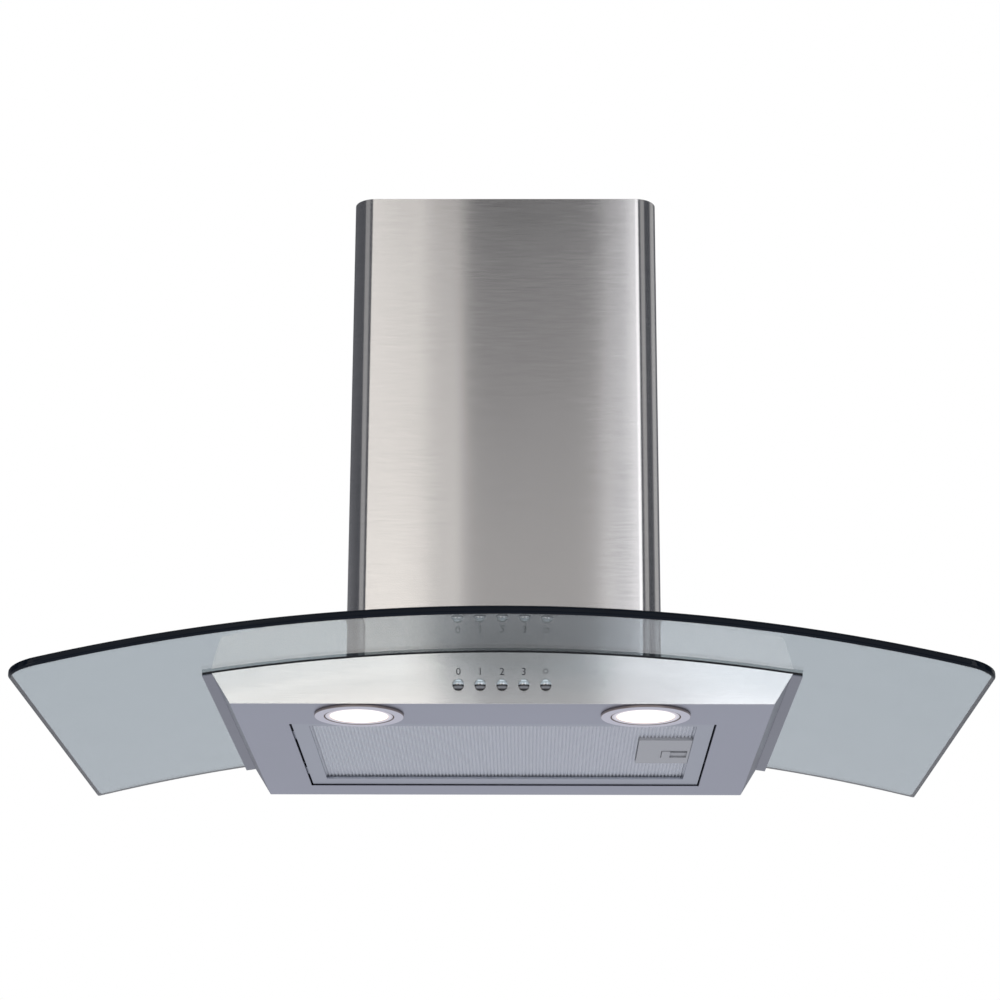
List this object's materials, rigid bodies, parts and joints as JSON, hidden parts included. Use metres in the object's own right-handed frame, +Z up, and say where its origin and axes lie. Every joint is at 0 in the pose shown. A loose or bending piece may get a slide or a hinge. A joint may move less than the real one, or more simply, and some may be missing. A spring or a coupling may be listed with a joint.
{
  "type": "wall chimney range hood",
  "caption": "Wall-mounted kitchen hood: curved glass canopy on a slim brushed steel body, grease filter, lamps, push buttons, blower and a telescopic chimney.",
  "frame": {"origin": "centre of the four wall screw holes of the motor box, on the wall plane", "axes": "+Z up, the wall is Y = 0 with the room at -Y, +X to the right for someone facing the hood"},
  "size_m": [0.8, 0.5, 0.5228],
  "materials": {
    "body_steel": "brushed stainless sheet, grain across the width",
    "chimney_steel": "brushed stainless sheet, grain across the width",
    "canopy_glass": "clear toughened glass with polished edges",
    "seal_rubber": "matt black",
    "fastener_steel": "zinc plated",
    "zinc_sheet": "galvanised sheet",
    "black_plastic": "matt moulded",
    "motor_alloy": "die cast",
    "white_plastic": "satin moulded",
    "button_chrome": "polished",
    "spring_steel": "drawn wire",
    "bezel_steel": "satin",
    "lamp_glass": "frosted, lit",
    "bulb_glass": "clear capsule, lit",
    "reflector": "polished inside",
    "filter_alloy": "satin anodised",
    "mesh_alloy": "layered expanded mesh, pleated",
    "latch_grey": "satin grey"
  },
  "bodies": {
    "hood": {"body_shell": "body_steel", "front_fascia": "body_steel", "top_deck": "body_steel", "chimney_lower": "chimney_steel", "glass_canopy": "canopy_glass", "glass_seal": "seal_rubber", "glass_bushes": "seal_rubber", "air_gasket": "seal_rubber", "clamp_bolts": "fastener_steel", "clamp_nuts": "fastener_steel", "flap_pins": "fastener_steel", "motor_box": "zinc_sheet", "chimney_feet": "zinc_sheet", "motor_bracket": "zinc_sheet", "blower_scroll": "black_plastic", "scroll_cover": "black_plastic", "outlet_collar": "black_plastic", "switch_bank": "black_plastic", "cable_gland": "black_plastic", "wiring_loom": "black_plastic", "lamp_transformer": "black_plastic", "motor_housing": "motor_alloy", "run_capacitor": "white_plastic", "terminal_box": "white_plastic", "terminal_cover": "white_plastic", "spring_off": "spring_steel", "spring_speed_1": "spring_steel", "spring_speed_2": "spring_steel", "spring_speed_3": "spring_steel", "spring_light": "spring_steel", "lamp_bezel_left": "bezel_steel", "lamp_bezel_right": "bezel_steel", "lamp_trim_left": "bezel_steel", "lamp_trim_right": "bezel_steel", "lamp_glass_left": "lamp_glass", "lamp_glass_right": "lamp_glass", "lamp_bulb_left": "bulb_glass", "lamp_bulb_right": "bulb_glass", "lamp_holder_left": "reflector", "lamp_holder_right": "reflector"},
    "impeller": {"motor_shaft": "fastener_steel", "impeller": "black_plastic"},
    "button_off": {"button_off": "button_chrome"},
    "button_speed_1": {"button_speed_1": "button_chrome"},
    "button_speed_2": {"button_speed_2": "button_chrome"},
    "button_speed_3": {"button_speed_3": "button_chrome"},
    "button_light": {"button_light": "button_chrome"},
    "filter": {"filter_frame": "filter_alloy", "filter_mesh": "mesh_alloy", "filter_tongues": "filter_alloy", "latch_housing": "latch_grey"},
    "filter_latch": {"latch_slider": "latch_grey"},
    "flap_left": {"return_flap_left": "white_plastic"},
    "flap_right": {"return_flap_right": "white_plastic"},
    "chimney_upper": {"chimney_upper": "chimney_steel", "ceiling_bracket": "zinc_sheet"}
  },
  "joints": [
    {"name": "impeller_spin", "type": "hinge", "parent": "hood", "child": "impeller", "pos_m": [-0.022, -0.118, -0.0623], "axis": [0, 1, 0], "continuous": true},
    {"name": "press_off", "type": "slide", "parent": "hood", "child": "button_off", "axis": [0, 1, 0], "range_m": [0, 0.003], "stiffness_N_per_m": 400, "springref_m": -0.002, "deforming": ["spring_off"]},
    {"name": "press_speed_1", "type": "slide", "parent": "hood", "child": "button_speed_1", "axis": [0, 1, 0], "range_m": [0, 0.003], "stiffness_N_per_m": 400, "springref_m": -0.002, "deforming": ["spring_speed_1"]},
    {"name": "press_speed_2", "type": "slide", "parent": "hood", "child": "button_speed_2", "axis": [0, 1, 0], "range_m": [0, 0.003], "stiffness_N_per_m": 400, "springref_m": -0.002, "deforming": ["spring_speed_2"]},
    {"name": "press_speed_3", "type": "slide", "parent": "hood", "child": "button_speed_3", "axis": [0, 1, 0], "range_m": [0, 0.003], "stiffness_N_per_m": 400, "springref_m": -0.002, "deforming": ["spring_speed_3"]},
    {"name": "press_light", "type": "slide", "parent": "hood", "child": "button_light", "axis": [0, 1, 0], "range_m": [0, 0.003], "stiffness_N_per_m": 400, "springref_m": -0.002, "deforming": ["spring_light"]},
    {"name": "filter_hinge", "type": "hinge", "parent": "hood", "child": "filter", "pos_m": [-0.18575, -0.173, -0.2185], "axis": [0, 1, 0], "range_deg": [0, 80]},
    {"name": "latch_slide", "type": "slide", "parent": "filter", "child": "filter_latch", "axis": [1, 0, 0], "range_m": [0, 0.006]},
    {"name": "flap_left_hinge", "type": "hinge", "parent": "hood", "child": "flap_left", "pos_m": [-0.0032, -0.118, 0.1487], "axis": [0, 1, 0], "range_deg": [0, 80]},
    {"name": "flap_right_hinge", "type": "hinge", "parent": "hood", "child": "flap_right", "pos_m": [0.0032, -0.118, 0.1487], "axis": [0, -1, 0], "range_deg": [0, 80]},
    {"name": "chimney_extend", "type": "slide", "parent": "hood", "child": "chimney_upper", "axis": [0, 0, 1], "range_m": [0, 0.34]}
  ]
}
